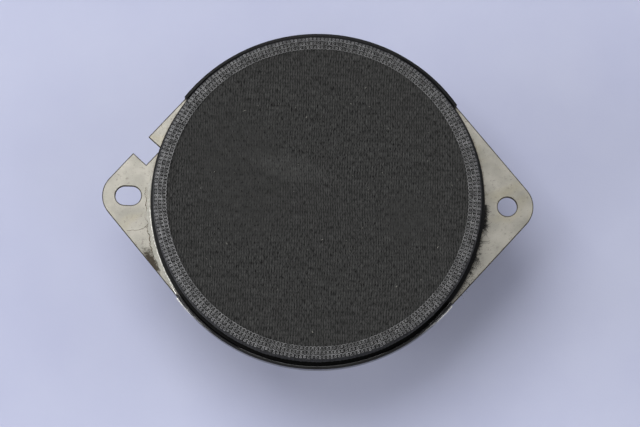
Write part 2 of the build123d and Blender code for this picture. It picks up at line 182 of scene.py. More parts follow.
def rounded_copy(node, mat, width, body, second):
    """A CAD body with its sharp edges rounded: the copy is merged and its flat faces are joined first.
    second is another material, a test of a face's centre and normal that says where it goes, and
    whether a narrow rim along the outlines of the flange's top takes it too."""
    other, takes_other, has_rim = second
    mesh = frame["nodes"][node].data.copy()
    mesh.materials.clear()
    mesh.materials.append(mat)
    work = bmesh.new()
    work.from_mesh(mesh)
    bmesh.ops.remove_doubles(work, verts=work.verts, dist=MERGE_DISTANCE * MM)
    bmesh.ops.dissolve_limit(work, angle_limit=FLAT_ANGLE, verts=work.verts, edges=work.edges)
    if has_rim:
        top = [face for face in work.faces
               if face.normal.z > 0.99 and abs(face.verts[0].co.z - FLANGE_TOP * MM) < 0.02 * MM]
        rim = bmesh.ops.inset_region(work, faces=top, thickness=RIM_WIDTH * MM, use_even_offset=True)
        for face in rim["faces"]:
            face.material_index = 1
    work.to_mesh(mesh)
    work.free()
    mesh.shade_smooth()
    mesh.set_sharp_from_angle(angle=SHARP_ANGLE)
    if other:
        mesh.materials.append(other)
        for face in mesh.polygons:
            if takes_other(face.center / MM, face.normal):
                face.material_index = 1
    piece = bpy.data.objects.new(f"{node}_body", mesh)
    bpy.context.scene.collection.objects.link(piece)
    if width:
        bevel = piece.modifiers.new("edges", "BEVEL")
        bevel.width = width * MM
        bevel.segments = 2
        bevel.limit_method = "ANGLE"
        bevel.angle_limit = SHARP_ANGLE
        bevel.harden_normals = True
        bevel.material = 1 if has_rim else -1
    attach(piece, body)
    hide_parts(node)
    return piece


# ---------------------------------------------------------------- materials

def linear(code):
    """sRGB hex colour to linear RGBA."""
    rgb = np.array([int(code[i:i + 2], 16) for i in (0, 2, 4)]) / 255
    low = rgb / 12.92
    high = ((rgb + 0.055) / 1.055) ** 2.4
    return (*np.where(rgb <= 0.04045, low, high).tolist(), 1.0)


def add(tree, kind, inputs=None, **settings):
    """One shader node with its settings; an input is a value or the socket it is linked from."""
    node = tree.nodes.new(kind)
    for key, value in settings.items():
        setattr(node, key, value)
    for key, value in (inputs or {}).items():
        if isinstance(value, bpy.types.NodeSocket):
            tree.links.new(value, node.inputs[key])
        else:
            node.inputs[key].default_value = value
    return node


def noise(tree, place, size, detail, **inputs):
    """Noise whose blobs are about size millimetres wide."""
    inputs = {"Vector": place, "Scale": 1 / (size * MM), "Detail": detail, **inputs}
    return add(tree, "ShaderNodeTexNoise", inputs).outputs["Fac"]


def ramp(tree, value, low, high, start=0.0, end=1.0):
    """start where the value is below low, end where it is above high, and a straight line between."""
    return add(tree, "ShaderNodeMapRange", {"Value": value, "From Min": low, "From Max": high,
                                            "To Min": start, "To Max": end}).outputs[0]


def maths(tree, operation, *values, **settings):
    """One step of arithmetic on values or sockets."""
    return add(tree, "ShaderNodeMath", dict(enumerate(values)), operation=operation, **settings).outputs[0]


def vector_maths(tree, operation, first, second=(0, 0, 0)):
    """One step of arithmetic on vectors; lengths and dot products come out of the last output."""
    step = add(tree, "ShaderNodeVectorMath", {0: first, 1: second}, operation=operation)
    return step.outputs["Value" if operation in ("LENGTH", "DOT_PRODUCT") else "Vector"]


def between(tree, share, first, second):
    """A colour between two, by a share from 0 to 1. A colour is a socket or an sRGB hex code."""
    first, second = (linear(c) if isinstance(c, str) else c for c in (first, second))
    return add(tree, "ShaderNodeMix", {0: share, 6: first, 7: second}, data_type="RGBA").outputs[2]


def bumped(tree, height, strength, distance, normal=None):
    """A normal tilted by a height map, whose full height is a distance in millimetres."""
    inputs = {"Height": height, "Strength": strength, "Distance": distance * MM}
    if normal:
        inputs["Normal"] = normal
    return add(tree, "ShaderNodeBump", inputs).outputs[0]


def material(name, tones, patch, rough, grain, relief, **shader):
    """A surface whose colour drifts between two tones over patches, with a fine grain in its
    roughness and height. patch and grain are sizes in millimetres, relief is a height in them.
    Returns the material, its tree and shader, and the sockets of place, colour and normal."""
    mat = bpy.data.materials.new(name)
    mat.use_nodes = True
    tree = mat.node_tree
    tree.nodes.clear()
    place = add(tree, "ShaderNodeTexCoord").outputs["Object"]
    drift = noise(tree, place, patch, 5.0, Roughness=0.6)
    tint = between(tree, ramp(tree, drift, 0.32, 0.68), *tones)
    fine = noise(tree, place, grain, 3.0)
    gloss = ramp(tree, fine, 0.3, 0.7, *rough)
    normal = bumped(tree, fine, 0.6, relief)
    body = add(tree, "ShaderNodeBsdfPrincipled", {"Base Color": tint, "Roughness": gloss, "Normal": normal,
                                                  **shader})
    add(tree, "ShaderNodeOutputMaterial", {"Surface": body.outputs[0]})
    return mat, tree, body, place, tint, normal


def plain(*looks, **shader):
    """A material with nothing beyond the common drift and grain."""
    return material(*looks, **shader)[0]


def soft_spot(tree, place, centre, size, turn):
    """1 at a centre in the XY plane, falling to 0 at the edge of an ellipse. Lengths in millimetres."""
    spot = add(tree, "ShaderNodeMapping", {
        "Vector": place, "Location": (centre[0] * MM, centre[1] * MM, FLANGE_TOP * MM),
        "Rotation": (0, 0, radians(turn)), "Scale": (size[0] * MM, size[1] * MM, 1.0)}, vector_type="TEXTURE")
    return add(tree, "ShaderNodeTexGradient", {0: spot.outputs[0]}, gradient_type="SPHERICAL").outputs[1]


# Painted contact shade, a dark brown band round the grille's foot, is full at the first radius and gone at
# the second.
FOOT_SHADE_FULL_R = 42.6
FOOT_SHADE_END_R = 43.7


def zinc_plated_steel():
    """Pressed steel with a thin zinc plating, dulled: warm grey with yellowish clouds and dark specks.
    The flange's top has painted contact shade, a dark brown band round the grille's foot, and a brown stain
    on the slotted ear."""
    mat, tree, body, place, tint, _ = material(
        "zinc plated steel, tarnished", ("807e77", "96938b"), 6.0, (0.36, 0.55), 0.25, 0.01, Metallic=1.0)
    cloud = noise(tree, place, 16, 4.0, Distortion=0.8)
    yellowed = between(tree, ramp(tree, cloud, 0.5, 0.75, 0.0, 0.45), tint, "948a66")
    speck = noise(tree, place, 0.9, 6.0, Roughness=0.7)
    specked = between(tree, ramp(tree, speck, 0.57, 0.75, 0.0, 0.8), yellowed, "57524a")
    axes = add(tree, "ShaderNodeSeparateXYZ", {0: place}).outputs
    flat = add(tree, "ShaderNodeCombineXYZ", {0: axes[0], 1: axes[1]}).outputs[0]
    # painted contact shade: a dark brown band with a ragged edge round the grille's foot
    ragged = maths(tree, "MULTIPLY_ADD", speck, -3.5 * MM, vector_maths(tree, "LENGTH", flat))
    near = ramp(tree, ragged, FOOT_SHADE_FULL_R * MM, FOOT_SHADE_END_R * MM, 0.6, 0.0)
    above = ramp(tree, axes[2], (FLANGE_TOP - 0.4) * MM, (FLANGE_TOP - 0.2) * MM)
    foot_shaded = between(tree, maths(tree, "MULTIPLY", near, above), specked, "4a3c2c")
    stain = maths(tree, "MULTIPLY", soft_spot(tree, place, (-44.1, -17.8), (9.0, 3.8), 116), speck)
    burnt = ramp(tree, stain, 0.2, 0.36, 0.0, 0.9)
    stained = between(tree, maths(tree, "MULTIPLY", burnt, above), foot_shaded, "20180e")
    tree.links.new(stained, body.inputs["Base Color"])
    return mat


def forged_steel():
    """Turned and zinc-plated forged steel: fine rings about the axis."""
    mat, tree, body, place, _, normal = material(
        "forged steel, zinc plated", ("8d8f90", "a5a6a2"), 9.0, (0.3, 0.42), 0.3, 0.008, Metallic=1.0)
    rings = add(tree, "ShaderNodeTexWave", {"Vector": place, "Scale": 1 / (3.2 * MM), "Distortion": 0.4,
                                            "Detail": 2.0, "Detail Scale": 2.0},
                wave_type="RINGS", rings_direction="Z")
    tree.links.new(bumped(tree, rings.outputs["Fac"], 0.35, 0.02, normal), body.inputs["Normal"])
    return mat


def capacitor_sleeve():
    """Shrunk plastic sleeve, dark blue, with a pale stripe along one side."""
    mat, tree, body, place, tint, _ = material(
        "shrunk plastic sleeve, dark blue", ("0c1330", "131d44"), 4.0, (0.2, 0.3), 0.6, 0.02)
    low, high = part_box("blocking_capacitor")
    middle = Vector((0, (low.y + high.y) / 2, (low.z + high.z) / 2))
    spoke = vector_maths(tree, "SUBTRACT", place, middle)
    width = maths(tree, "ABSOLUTE", vector_maths(tree, "DOT_PRODUCT", spoke, (0, 0.8, -0.6)))
    inside = ramp(tree, width, 0.75 * MM, 0.85 * MM, 1.0, 0.0)
    facing = maths(tree, "GREATER_THAN", vector_maths(tree, "DOT_PRODUCT", spoke, (0, -0.6, -0.8)), 0.0)
    striped = between(tree, maths(tree, "MULTIPLY", inside, facing), tint, "8f9bb8")
    tree.links.new(striped, body.inputs["Base Color"])
    return mat


MATERIALS = {
    "zinc_plate": zinc_plated_steel(),
    "pole_steel": forged_steel(),
    "capacitor_sleeve": capacitor_sleeve(),
    # moulded with a fine texture: near black and matt
    "black_plastic": plain("ABS, moulded black", ("08080a", "111112"), 12.0, (0.5, 0.7), 0.5, 0.02,
                           **{"Specular IOR Level": 0.25}),
    # fine cells, no gloss at all
    "foam_gasket": plain("closed cell foam, black", ("141415", "1e1e1f"), 1.2, (0.8, 0.95), 0.35, 0.12),
    # a sticky coat fills the weave: half matt
    "surround_rubber": plain("doped cloth, black", ("101011", "1b1b1c"), 3.0, (0.45, 0.6), 0.4, 0.05),
    # calendered paper with a lacquer: black, glossy, faint fibres
    "cone_paper": plain("paper pulp, lacquered black", ("0d0d0e", "19191a"), 2.5, (0.18, 0.3), 0.4, 0.03,
                        **{"Coat Weight": 0.7, "Coat Roughness": 0.12}),
    # the same pulp without a lacquer
    "cap_paper": plain("paper pulp, black", ("101011", "1c1c1d"), 1.5, (0.4, 0.55), 0.3, 0.04),
    # brown wrapping paper, matt
    "former_paper": plain("kraft paper, brown", ("8a6134", "a97b45"), 2.0, (0.6, 0.75), 0.25, 0.02),
    # copper seen through a clear enamel: orange and bright
    "copper_wire": plain("copper wire, enamelled", ("b0582c", "c9703c"), 1.5, (0.22, 0.32), 0.2, 0.01,
                         Metallic=1.0),
    # weave stiffened with resin: yellow-brown and matt
    "spider_cloth": plain("cotton cloth, set with resin", ("b08a3c", "c9a451"), 2.0, (0.7, 0.85), 0.3, 0.08),
    # fine bare strands: a soft copper shine
    "tinsel": plain("copper tinsel braid", ("b0703f", "d29a63"), 0.8, (0.35, 0.5), 0.15, 0.03, Metallic=1.0),
    # set from the melt: bright and smooth
    "solder": plain("solder, tin", ("a7a8aa", "c5c6c8"), 1.0, (0.22, 0.35), 0.3, 0.02, Metallic=1.0),
    # ground ceramic: dark grey with a dull metal shine
    "ferrite": plain("ferrite, sintered", ("242426", "343437"), 3.0, (0.42, 0.6), 0.3, 0.03, Metallic=0.35),
    # drawn steel, pale
    "rivet_steel": plain("rivet steel, bright", ("9b9b98", "b4b3ae"), 1.5, (0.28, 0.4), 0.2, 0.01,
                         Metallic=1.0),
    # pressed board: brown, faint layers
    "fibre_board": plain("phenolic paper, brown", ("5d3818", "774a22"), 1.8, (0.45, 0.6), 0.25, 0.02),
    # tin over brass: pale with a warm cast
    "tinned_brass": plain("brass, tinned", ("b4b0a2", "cbc8bd"), 2.0, (0.22, 0.34), 0.25, 0.01, Metallic=1.0),
}

WALE = 0.665  # width of a stitch
COURSE = 0.945  # height of a stitch


def knit():
    """Black polyester knit on the piece's own map in millimetres: columns of stitches with partly open
    gaps between them, broken up along each column, with two duller patches and a lighter streak of painted
    highlight, the cone's highlight seen through the cloth."""
    mat, tree, body, place, tint, normal = material(
        "knit cloth, black polyester", ("373736", "454544"), 2.5, (0.8, 0.95), 0.2, 0.03,
        **{"Sheen Weight": 0.04, "Sheen Roughness": 0.4, "Specular IOR Level": 0.25})
    flat = add(tree, "ShaderNodeUVMap", uv_map="cloth").outputs[0]
    axes = add(tree, "ShaderNodeSeparateXYZ", {0: flat}).outputs
    in_column = maths(tree, "FRACT", maths(tree, "DIVIDE", axes[0], WALE))
    arm = maths(tree, "ABSOLUTE", maths(tree, "SUBTRACT", in_column, 0.5))
    slanted = maths(tree, "MULTIPLY_ADD", arm, 1.3, maths(tree, "DIVIDE", axes[1], COURSE))
    wave = maths(tree, "SINE", maths(tree, "MULTIPLY", slanted, 2 * pi))
    stitch = ramp(tree, wave, -1.0, 1.0, 0.68)
    ladder = ramp(tree, arm, 0.2, 0.5, 1.0, 0.32)
    # the map is stretched first, so the noise keeps its own scale of 1
    stretched = vector_maths(tree, "MULTIPLY", flat, (2.3 / WALE, 0.75 / COURSE, 1.0))
    broken = noise(tree, stretched, 1 / MM, 4.0, Roughness=0.75)
    dash = ramp(tree, broken, 0.35, 0.65, -0.1, 1.65)
    uneven = maths(tree, "MULTIPLY", maths(tree, "MULTIPLY", stitch, ladder), dash)
    dull = maths(tree, "ADD", soft_spot(tree, place, (-20, 6), (17, 24), 20),
                 soft_spot(tree, place, (24, -5), (9, 9), 0))
    even = add(tree, "ShaderNodeMix", {0: ramp(tree, dull, 0.0, 0.5, 0.0, 0.6), 2: uneven, 3: 0.5},
               data_type="FLOAT").outputs[0]
    # painted highlight: a lighter streak where the glossy cone's highlight shows through the cloth
    painted_cone_highlight = ramp(tree, soft_spot(tree, place, (-6.6, 7.6), (13, 4.0), -12), 0.0, 0.6, 1.0, 1.5)
    bright = maths(tree, "MULTIPLY", even, painted_cone_highlight, use_clamp=True)
    tree.links.new(between(tree, bright, "0b0b0b", tint), body.inputs["Base Color"])
    tree.links.new(bumped(tree, uneven, 0.6, 0.1, normal), body.inputs["Normal"])
    tree.links.new(ramp(tree, uneven, 0.0, 0.2, 0.45, 1.0), body.inputs["Alpha"])
    return mat


# ---------------------------------------------------------------- camera, lights, floor

def make_camera():
    """Camera over the flange's centre: tilted, turned about Z, rolled, and slid in its own plane."""
    tilt, turn, roll = radians(CAMERA_TILT), radians(CAMERA_AZIMUTH), radians(CAMERA_ROLL)
    back = Vector((sin(turn) * sin(tilt), -cos(turn) * sin(tilt), cos(tilt)))
    right = Vector((0, 1, 0)).cross(back).normalized()
    up = back.cross(right)
    right, up = cos(roll) * right + sin(roll) * up, cos(roll) * up - sin(roll) * right
    place = Vector((0, 0, FLANGE_TOP)) + CAMERA_DISTANCE * back
    place += CAMERA_OFFSET[0] * right + CAMERA_OFFSET[1] * up
    data = bpy.data.cameras.new("camera")
    data.lens = CAMERA_LENS
    data.clip_start = 0.01
    camera = bpy.data.objects.new("camera", data)
    camera.matrix_world = Matrix.Translation(place * MM) @ Matrix((right, up, back)).transposed().to_4x4()
    bpy.context.scene.collection.objects.link(camera)
    bpy.context.scene.camera = camera


def area_light(name, place, size, power):
    """A square soft light aimed at the cloth's centre."""
    data = bpy.data.lights.new(name, "AREA")
    data.size = size
    data.energy = power
    lamp = bpy.data.objects.new(name, data)
    lamp.location = place
    aim = Vector((0, 0, FLANGE_TOP * MM)) - Vector(place)
    lamp.rotation_euler = aim.to_track_quat("-Z", "Y").to_euler()
    bpy.context.scene.collection.objects.link(lamp)


# Soft lights: name, place and width in metres, power in watts.
LIGHTS = (
    ("key", (-0.3, 0.45, 1.0), 0.8, 9.5),
    ("left", (-0.95, -0.05, 0.36), 0.5, 5.2),
    ("right", (0.9, 0.1, 0.6), 0.5, 2.0),
    ("glint right", (0.6, -0.5, 0.45), 0.14, 0.9),
    ("glint left", (-0.6, -0.5, 0.45), 0.14, 0.9),
)
FLOOR_HALF = 1500.0
ROOM_COLOUR = (0.95, 0.96, 1.0, 1)
ROOM_STRENGTH = 0.22


def make_stage():
    """Pale paper floor under the magnet, soft lights from above and a light grey surround. Two small
    lamps low in front put a glint on the curb's lower ends."""
    half = FLOOR_HALF * MM
    corners = [(-half, -half, 0), (half, -half, 0), (half, half, 0), (-half, half, 0)]
    mesh = bpy.data.meshes.new("floor")
    mesh.from_pydata(corners, [], [(0, 1, 2, 3)])
    floor = bpy.data.objects.new("floor", mesh)
    bpy.context.scene.collection.objects.link(floor)
    mesh.materials.append(plain("matt paper, pale", ("b4b8d2", "bbbfd6"), 60.0, (0.85, 0.95), 0.6, 0.03))
    for light in LIGHTS:
        area_light(*light)
    world = bpy.data.worlds.new("room")
    world.use_nodes = True
    air = world.node_tree.nodes["Background"].inputs
    air[0].default_value = ROOM_COLOUR
    air[1].default_value = ROOM_STRENGTH
    bpy.context.scene.world = world
    bpy.context.scene.view_settings.view_transform = "Standard"


# ---------------------------------------------------------------- cloth

# The cloth lies below the top of its CAD node by CLOTH_SINK, and the yarn on its edge stands a little
# above that top.
CLOTH_R = 43.6
CLOTH_SINK = 0.12
CLOTH_SAG = 0.25
RIB_HEIGHT = 0.04
EDGE_ROUND = 1.2
EDGE_FLAT = CLOTH_R - EDGE_ROUND - RING_INNER_R
EDGE_ARC = EDGE_ROUND * pi / 2
CLOTH_HEM_Z = FLANGE_TOP + 1.1
EDGE_DROP = CLOTH_TOP - EDGE_ROUND - CLOTH_HEM_Z
EDGE_STITCHES = 264
EDGE_COURSE = 1.12
FIRST_COURSE = 0.5


def edge_profile(s):
    """Radius, height and outward normal of the cloth's edge at a distance s from the ring's inside:
    flat, then a quarter circle, then straight down."""
    a = np.clip((s - EDGE_FLAT) / EDGE_ROUND, 0, pi / 2)
    r = RING_INNER_R + np.minimum(s, EDGE_FLAT) + EDGE_ROUND * np.sin(a)
    z = CLOTH_TOP - EDGE_ROUND * (1 - np.cos(a)) - np.maximum(s - EDGE_FLAT - EDGE_ARC, 0)
    return r, z, np.sin(a), np.cos(a)


def cloth_face():
    """Flat part inside the ring. x = R sin(p), y = t sqrt(R^2 - x^2); its height falls into a shallow
    sag and carries a rounded rib on every column of stitches, u = x plus a slow wander."""
    columns, rows = 781, 61
    edge = pi / 2 - 0.01
    p = np.linspace(-edge, edge, columns)
    t = np.linspace(-1, 1, rows)
    radius = RING_INNER_R + 0.05
    x = radius * np.sin(p)[:, None] * np.ones_like(t)
    y = radius * np.cos(p)[:, None] * t
    u = x + 0.35 * np.sin(y / 13 + x / 40) + 0.2 * np.sin(y / 5 + x / 9) + 0.25 * np.sin(x / 4.5 + y / 30)
    inside = 1 - (x**2 + y**2) / radius**2
    rib = RIB_HEIGHT * np.abs(np.cos(pi * u / WALE)) * np.minimum(inside * 12, 1)
    z = CLOTH_TOP - CLOTH_SINK - CLOTH_SAG * inside + rib
    points = np.stack([x, y, z], -1).reshape(-1, 3)
    uv = np.stack([u + WALE / 2, y + 0.15 * np.sin(x / 6)], -1).reshape(-1, 2)
    return points, grid_faces(columns, rows), uv


def cloth_edge():
    """Edge over the ring: the edge profile turned about Z, with a small dimple between stitches. Its
    map has a stitch as wide and as long as the face's."""
    segments = EDGE_STITCHES * 4
    s = np.concatenate([np.linspace(0, EDGE_FLAT, 8)[:-1],
                        EDGE_FLAT + np.linspace(0, EDGE_ARC, 9)[:-1],
                        EDGE_FLAT + EDGE_ARC + np.linspace(0, EDGE_DROP, 12)])
    turn = np.arange(segments + 1)[:, None]
    a = turn * 2 * pi / segments
    r, z, nr, nz = edge_profile(s)
    dimple = CLOTH_SINK + 0.05 * np.cos(EDGE_STITCHES * a) * np.cos(2 * pi * s / EDGE_COURSE)
    points = polar(r - nr * dimple, a, z - nz * dimple)[:-1].reshape(-1, 3)
    uv = np.stack([turn * WALE / 4 * np.ones_like(s),
                   (s - FIRST_COURSE) * COURSE / EDGE_COURSE * np.ones_like(a)], -1)[:-1].reshape(-1, 2)
    faces = grid_faces(segments, len(s), close_rows=True)
    return points, faces[:, ::-1], uv


def knit_rows(name, rows, samples, sides, yarn, mat, seed):
    """Courses of the stretched knit around the ring. For each course at distance s0, with t running
    once round per stitch: angle = (t + 1.2 sin 2t - 0.7 sin t) / stitches, so that a stitch's two legs
    stand close together, s = s0 + 0.44 cos t, and the height above the edge profile is
    0.08 + 0.08 cos 2t. A seeded unevenness stretches some stitches. The yarn lies closer on the -X side
    and is drawn thinner towards +Y and -Y: its radius is yarn (1 - 0.16 sin^2 + 0.22 cos^2 on the -X
    side) of the angle, less on the inner rows."""
    rng = np.random.default_rng(seed)
    t = np.arange(EDGE_STITCHES * samples) * 2 * pi / samples
    paths, normals, thick = [], [], []
    for row in rows:
        uneven = np.interp(t / (2 * pi), np.arange(EDGE_STITCHES + 1), rng.normal(0, 1, EDGE_STITCHES + 1))
        angle = (t + 1.2 * np.sin(2 * t) - 0.7 * np.sin(t) + 0.3 * uneven) / EDGE_STITCHES
        s = FIRST_COURSE + row * EDGE_COURSE + (0.44 + 0.05 * uneven) * np.cos(t) + 0.05 * uneven
        r, z, nr, nz = edge_profile(s)
        lift = 0.08 + 0.08 * np.cos(2 * t) + 0.02 * uneven
        paths.append(polar(r + nr * lift, angle, z + nz * lift))
        normals.append(polar(nr, angle, nz))
        share = 0.82 + 0.14 * min(row, 2)
        thick.append(yarn * share * (1 - 0.16 * np.sin(angle)**2 + 0.22 * np.minimum(np.cos(angle), 0)**2))
    return tube_piece(name, np.array(paths), np.array(thick), sides, mat, "frame",
                      normals=np.array(normals), closed=True)


def lint():
    """Pale fibres caught on the cloth: short arcs lying on it, at a few marked spots and scattered."""
    rng = np.random.default_rng(11)
    marked = [(-20.2, 22.8), (-3.6, 21.5), (1.6, -11.6), (21.7, -23.6), (-0.2, -36.4), (32.3, -12.7),
              (-23.6, -13.4), (12.0, 30.0)]
    count = 40
    spread = rng.uniform(0, 38**2, count) ** 0.5
    direction = rng.uniform(0, 2 * pi, count)
    spots = np.concatenate([np.array(marked), polar(spread, direction, 0.0)[:, :2]])
    size = np.concatenate([np.full(len(marked), 0.55), rng.uniform(0.15, 0.5, count)])[:, None]
    heading = rng.uniform(0, 2 * pi, len(spots))[:, None]
    bend = rng.uniform(-1.5, 1.5, len(spots))[:, None]
    t = np.linspace(-0.5, 0.5, 6)
    x = spots[:, :1] + size * (t * np.cos(heading) - bend * t**2 * np.sin(heading))
    y = spots[:, 1:] + size * (t * np.sin(heading) + bend * t**2 * np.cos(heading))
    z = CLOTH_TOP + 0.02 - CLOTH_SAG * (1 - (x**2 + y**2) / RING_INNER_R**2)
    thick = np.where(np.arange(len(spots)) < len(marked), 0.06, 0.03)[:, None] * (1 - 1.6 * t**2)
    mat = plain("cotton lint, pale", ("7d7c77", "a5a39c"), 1.0, (0.8, 0.95), 0.1, 0.02)
    tube_piece("lint_on_cloth", np.stack([x, y, z], -1), thick, 5, mat, "frame")


def make_cloth():
    """The cloth with its edge as one piece, the stretched courses of stitches on the edge, and lint."""
    face_points, face_faces, face_uv = cloth_face()
    edge_points, edge_faces, edge_uv = cloth_edge()
    cloth = new_piece("knit_cloth", np.concatenate([face_points, edge_points]),
                      np.concatenate([face_faces, edge_faces + len(face_points)]), knit(), "frame",
                      uv=np.concatenate([face_uv, edge_uv]))
    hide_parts("grille_cloth")
    # the stretched yarn on top of the edge is painted lighter than the cloth, as painted sheen; it is drawn
    # thicker than real, to show
    painted_sheen_yarn = plain("polyester yarn, painted sheen", ("3f3f40", "8a8a8b"), 1.3, (0.65, 0.9), 0.15, 0.03,
                       **{"Sheen Weight": 0.2, "Sheen Roughness": 0.4})
    dark_yarn = plain("polyester yarn", ("28282a", "3f3f41"), 1.6, (0.7, 0.9), 0.15, 0.03)
    top_rows = knit_rows("knit_rows_top", (0, 1, 2), 16, 5, 0.115, painted_sheen_yarn, 3)
    side_rows = knit_rows("knit_rows_side", (3, 4, 5, 6), 12, 4, 0.11, dark_yarn, 4)
    lint()


# ---------------------------------------------------------------- suspension and wires

ROLL_CENTRE_R = 34.0
ROLL_R = 2.8
SURROUND_T = 0.4
SURROUND_LIP_R = 30.1
SURROUND_R = 39.9
GASKET_R = 37.0
SPIDER_INNER_R = 9.8
SPIDER_FIRST_R = 11.2
SPIDER_LAST_R = 23.6
SPIDER_R = 26.6
SPIDER_T = 0.35
SPIDER_WAVE = 0.45
SPIDER_RIDGES = 4
# Radii handed to ride_between for each piece: the frame's first, the cone's second.
SURROUND_BEND_R = (36.9, 31.2)
SPIDER_BEND_R = (23.6, 11.0)
LEDGE_TOP_Z = top_of("terminal_board") + 1.0


def smooth(x):
    """0 below 0, 1 above 1, and an S-curve between."""
    x = np.clip(x, 0, 1)
    return x * x * (3 - 2 * x)


def ride_between(piece, frame_r, cone_r):
    """Bakes the piece's placement into its points and reads the points back. frame_r and cone_r are not used.
    """
    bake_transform(piece)
    points = np.empty(len(piece.data.vertices) * 3)
    piece.data.vertices.foreach_get("co", points)


def wall(r, z, thick):
    """Radii and heights of a closed outline around a line, half the thickness to each side."""
    dr, dz = np.gradient(r), np.gradient(z)
    size = np.hypot(dr, dz)
    nr, nz = -dz / size * thick / 2, dr / size * thick / 2
    return np.concatenate([r - nr, (r + nr)[::-1]]), np.concatenate([z - nz, (z + nz)[::-1]])


def surround():
    """Half-roll edge: a flat lip, a half circle and a flat landing, of even thickness."""
    a = np.linspace(pi, 0, 41)
    middle = ROLL_R - SURROUND_T / 2
    base = FLANGE_TOP + SURROUND_T / 2 + 0.02
    r = np.concatenate([np.linspace(SURROUND_LIP_R, ROLL_CENTRE_R - middle - 0.1, 5),
                        ROLL_CENTRE_R + middle * np.cos(a),
                        np.linspace(ROLL_CENTRE_R + middle + 0.1, SURROUND_R, 7)])
    z = np.concatenate([np.full(5, base), base + middle * np.sin(a) ** 0.9, np.full(7, base)])
    piece = ring_piece("surround_roll", 240, *wall(r, z, SURROUND_T), MATERIALS["surround_rubber"], None,
                       "surround_rubber")
    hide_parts("surround")
    ride_between(piece, *SURROUND_BEND_R)


def spider():
    """Corrugated disc: z = wave cos of the radius, fading to flat at the collar and at the edge."""
    r = np.linspace(SPIDER_INNER_R + 0.05, SPIDER_R, 150)
    turn = (r - SPIDER_FIRST_R) / (SPIDER_LAST_R - SPIDER_FIRST_R) * SPIDER_RIDGES * 2 * pi
    fade = smooth((r - SPIDER_FIRST_R + 0.8) / 0.8) * smooth((SPIDER_LAST_R + 0.4 - r) / 0.8)
    middle = (top_of("spider") + bottom_of("spider")) / 2
    z = middle - SPIDER_WAVE * np.cos(turn) * fade
    seat = LEDGE_TOP_Z + SPIDER_T / 2 + 0.03
    flat = smooth((r - SPIDER_LAST_R) / 0.5)
    z = z * (1 - flat) + seat * flat
    piece = ring_piece("spider_disc", 200, *wall(r, z, SPIDER_T), MATERIALS["spider_cloth"], None,
                       "spider_cloth")
    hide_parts("spider")
    ride_between(piece, *SPIDER_BEND_R)


def wander(rng, x, waves, roughness=0):
    """A smooth seeded wander between -1 and 1 over angles x: a sum of waves, each weaker than the one
    before by its number to the power of the roughness."""
    weight = rng.normal(0, 1, len(waves)) / waves**roughness
    line = weight @ np.sin(np.outer(waves, x) + rng.uniform(0, 6, len(waves))[:, None])
    return line / np.abs(line).max()


def wander_line(rng, count, roughness=0.9):
    """The wander along a line of a number of points."""
    return wander(rng, np.linspace(0, 2 * pi, count), np.arange(1, 30), roughness)


def bead(name, radius, height, thick, unevenness, mat, body, slot, seed, tilt=0.0):
    """A line of glue or sealant round the axis: a tube whose thickness wanders. It is flattened to
    follow a slope of the given tilt."""
    segments, sides = 360, 10
    swell = wander(np.random.default_rng(seed), around(segments), np.arange(3, 23)) * unevenness
    s = around(sides)
    size = thick * (1 + swell)[:, None]
    r = radius + size * np.cos(s) * cos(tilt)
    z = height + size * (0.6 * np.sin(s) + np.cos(s) * sin(tilt))
    ring_piece(name, segments, r, z, mat, body, slot)


def foam_gasket():
    """Foam ring pressed onto the surround: a rounded-square section, a little wavy along the ring."""
    segments = 240
    s = around(20)
    half_width = (SURROUND_R - GASKET_R) / 2
    half_height = (top_of("front_gasket") - bottom_of("front_gasket")) / 2
    square = 0.35
    across = half_width * np.sign(np.cos(s)) * np.abs(np.cos(s)) ** square
    up = half_height * np.sign(np.sin(s)) * np.abs(np.sin(s)) ** square
    a = around(segments)[:, None]
    r = (SURROUND_R + GASKET_R) / 2 + across
    z = bottom_of("front_gasket") + 0.03 + half_height + up * (0.97 + 0.02 * np.sin(7 * a) * np.sin(31 * a))
    piece = ring_piece("foam_ring", segments, r, z, MATERIALS["foam_gasket"], "frame", "foam_gasket")
    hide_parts("front_gasket")


def smooth_line(route, per_span=16):
    """Points along the smooth curve that a route's points control."""
    data = bpy.data.curves.new("route", "CURVE")
    data.dimensions = "3D"
    data.resolution_u = per_span
    spline = data.splines.new("NURBS")
    spline.points.add(len(route) - 1)
    for point, place in zip(spline.points, route):
        point.co = (*place, 1)
    spline.order_u = 3
    spline.use_endpoint_u = True
    guide = bpy.data.objects.new("route", data)
    mesh = bpy.data.meshes.new_from_object(guide)
    points = np.empty(len(mesh.vertices) * 3)
    mesh.vertices.foreach_get("co", points)
    bpy.data.objects.remove(guide)
    bpy.data.meshes.remove(mesh)
    bpy.data.curves.remove(data)
    return points.reshape(-1, 3)


def braid(name, line, strands, offset, thick, pitch):
    """Strands laid in a helix about a line: strand k stands off it by offset at the angle
    2 pi (length / pitch + k / strands)."""
    step = np.linalg.norm(np.diff(line, axis=0), axis=1)
    length = np.concatenate([[0], np.cumsum(step)])
    count = int(length[-1] / pitch * 12)
    even = np.linspace(0, length[-1], count)
    middle = np.stack([np.interp(even, length, line[:, i]) for i in range(3)], -1)
    tangent = np.gradient(middle, axis=0)
    side = unit(np.cross(tangent, [0.3, 0.1, 1.0] if abs(tangent[count // 2][2]) < 0.5 else [1.0, 0.2, 0.1]))
    up = unit(np.cross(side, tangent))
    a = 2 * pi * (even / pitch + np.arange(strands)[:, None] / strands)
    paths = middle + offset * (np.cos(a)[..., None] * side + np.sin(a)[..., None] * up)
    return tube_piece(name, paths, np.full(paths.shape[:2], thick), 5, MATERIALS["tinsel"], None,
                      normals=side)


